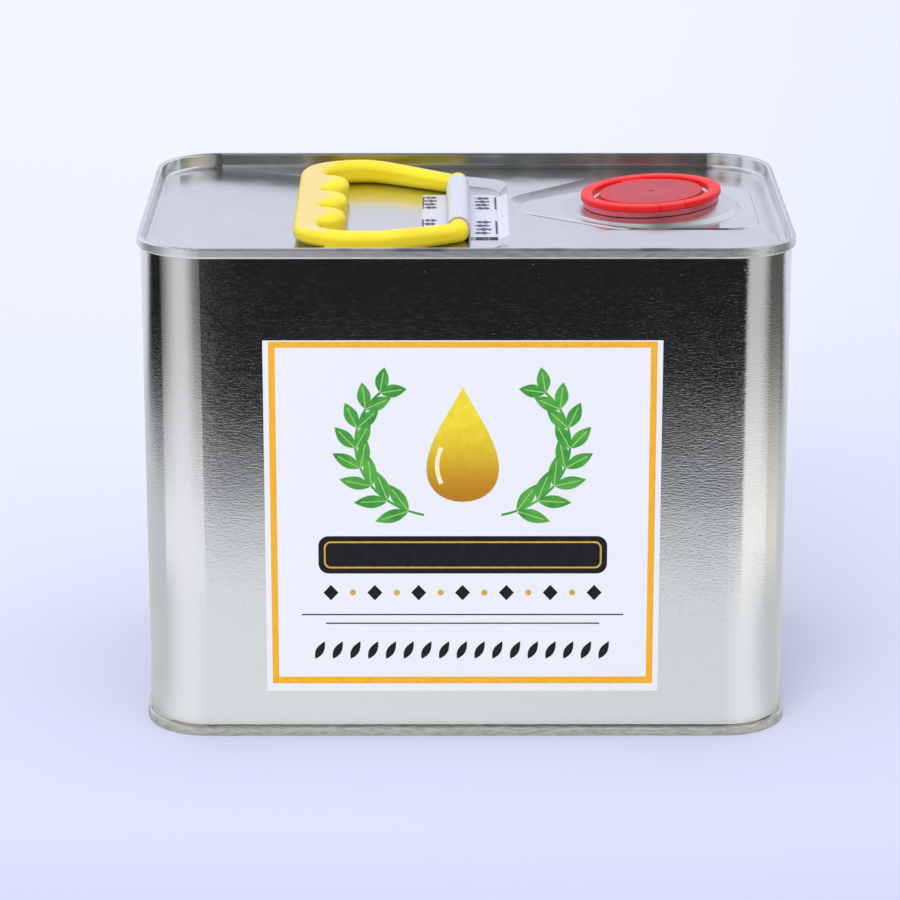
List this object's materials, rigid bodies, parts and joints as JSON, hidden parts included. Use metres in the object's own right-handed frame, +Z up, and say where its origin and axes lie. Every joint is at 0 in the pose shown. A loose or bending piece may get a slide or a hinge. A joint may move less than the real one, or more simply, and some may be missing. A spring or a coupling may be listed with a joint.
{
  "type": "rectangular oil tin with pull-up spout",
  "caption": "Rectangular tinplate oil tin with double seamed ends, a swinging carry handle and a pull-up pouring spout under a red screw cap.",
  "frame": {"origin": "middle of the base, on the plane the tin stands on", "axes": "+X along the long side towards the spout, +Y from the labelled front to the back, +Z up"},
  "size_m": [0.19, 0.122, 0.1521],
  "materials": {
    "tinplate": "bright tinplate with a fine rolled grain",
    "strap_steel": "satin tinplate",
    "seam_compound": "soft sealing compound",
    "label_paper": "smooth coated paper",
    "yellow_plastic": "glossy moulded plastic",
    "red_plastic": "semi-gloss moulded plastic",
    "natural_plastic": "milky flexible plastic",
    "liner_foam": "soft foam disc"
  },
  "bodies": {
    "tin": {"body_shell": "tinplate", "top_end": "tinplate", "bottom_end": "tinplate", "top_seam_compound": "seam_compound", "bottom_seam_compound": "seam_compound", "front_label": "label_paper", "handle_strap": "strap_steel", "neck_collar": "tinplate", "spout_flange": "natural_plastic", "spout_bellows": "natural_plastic"},
    "handle": {"carry_handle": "yellow_plastic"},
    "spout": {"spout_tube": "natural_plastic", "tear_seal": "natural_plastic"},
    "cap_seal": {"cap_liner": "liner_foam"},
    "cap": {"screw_cap": "red_plastic"},
    "left_pull": {"left_bail": "red_plastic"},
    "right_pull": {"right_bail": "red_plastic"}
  },
  "joints": [
    {"name": "handle_swing", "type": "hinge", "parent": "tin", "child": "handle", "pos_m": [-0.0022, 0, 0.1457], "axis": [0, 1, 0], "range_deg": [0, 120]},
    {"name": "spout_pull", "type": "slide", "parent": "tin", "child": "spout", "axis": [-0.0593, 0, 0.9982], "range_m": [0, 0.036], "deforming": ["spout_bellows"]},
    {"name": "cap_lift", "type": "slide", "parent": "spout", "child": "cap_seal", "axis": [-0.0593, 0, 0.9982], "range_m": [0, 0.009]},
    {"name": "cap_turn", "type": "hinge", "parent": "cap_seal", "child": "cap", "pos_m": [0.0555, 0, 0.14675], "axis": [-0.0593, 0, 0.9982], "range_deg": [0, 810]},
    {"name": "left_bail_fold", "type": "hinge", "parent": "cap", "child": "left_pull", "pos_m": [0.05141, -0.0011, 0.15069], "axis": [-0.2752, 0.9613, -0.0163], "range_deg": [0, 90]},
    {"name": "right_bail_fold", "type": "hinge", "parent": "cap", "child": "right_pull", "pos_m": [0.05909, 0.0011, 0.15115], "axis": [0.2752, -0.9613, 0.0163], "range_deg": [0, 90]}
  ],
  "couplings": [
    {"joint": "cap_lift", "follows": "cap_turn", "m_per_rad": 0.00063662}
  ]
}
